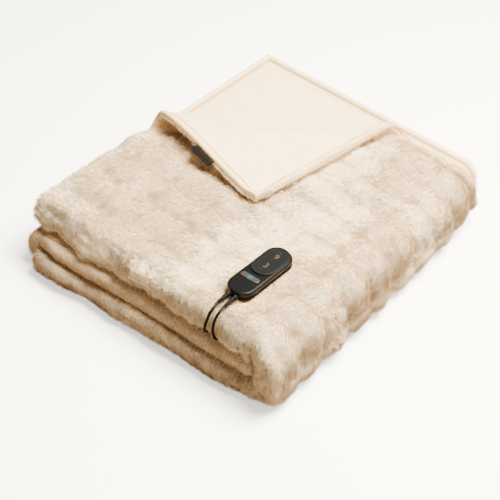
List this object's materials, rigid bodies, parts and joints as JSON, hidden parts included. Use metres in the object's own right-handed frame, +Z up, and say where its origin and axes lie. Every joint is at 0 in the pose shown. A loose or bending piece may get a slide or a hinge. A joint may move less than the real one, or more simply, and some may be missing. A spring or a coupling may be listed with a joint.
{
  "type": "electric heated blanket",
  "caption": "Plush electric throw folded into a low ribbed stack, one corner turned back to its fleece side, with a slim control handset, its leads and a flat mains plug.",
  "frame": {"origin": "on the floor under the middle of the folded stack", "axes": "+Z up; +Y from the folded front edge to the cut edges at the back; +X along the front edge, from the free end to the wrap"},
  "size_m": [0.5543, 0.7086, 0.1643],
  "materials": {
    "faux_fur": "cream faux fur, soft ribs",
    "fleece": "cream short fleece",
    "woven_label": "dark taupe woven tab, bare",
    "satin_plastic": "charcoal, satin",
    "matte_plastic": "charcoal, matte",
    "smoked_window": "grey translucent window",
    "black_flex": "black, satin",
    "plug_pins": "nickel plated"
  },
  "bodies": {
    "root": {"fur_face": "faux_fur", "fleece_back": "fleece", "side_label": "woven_label", "handset_base": "satin_plastic", "handset_cover": "satin_plastic", "control_plate": "matte_plastic", "status_window": "smoked_window", "relief_mains": "black_flex", "relief_blanket": "black_flex", "blanket_lead": "black_flex", "mains_lead": "black_flex", "lead_coil": "black_flex", "lead_tail": "black_flex", "plug_body": "black_flex", "plug_pin_1": "plug_pins", "plug_pin_2": "plug_pins", "plug_relief": "black_flex"}
  },
  "joints": []
}
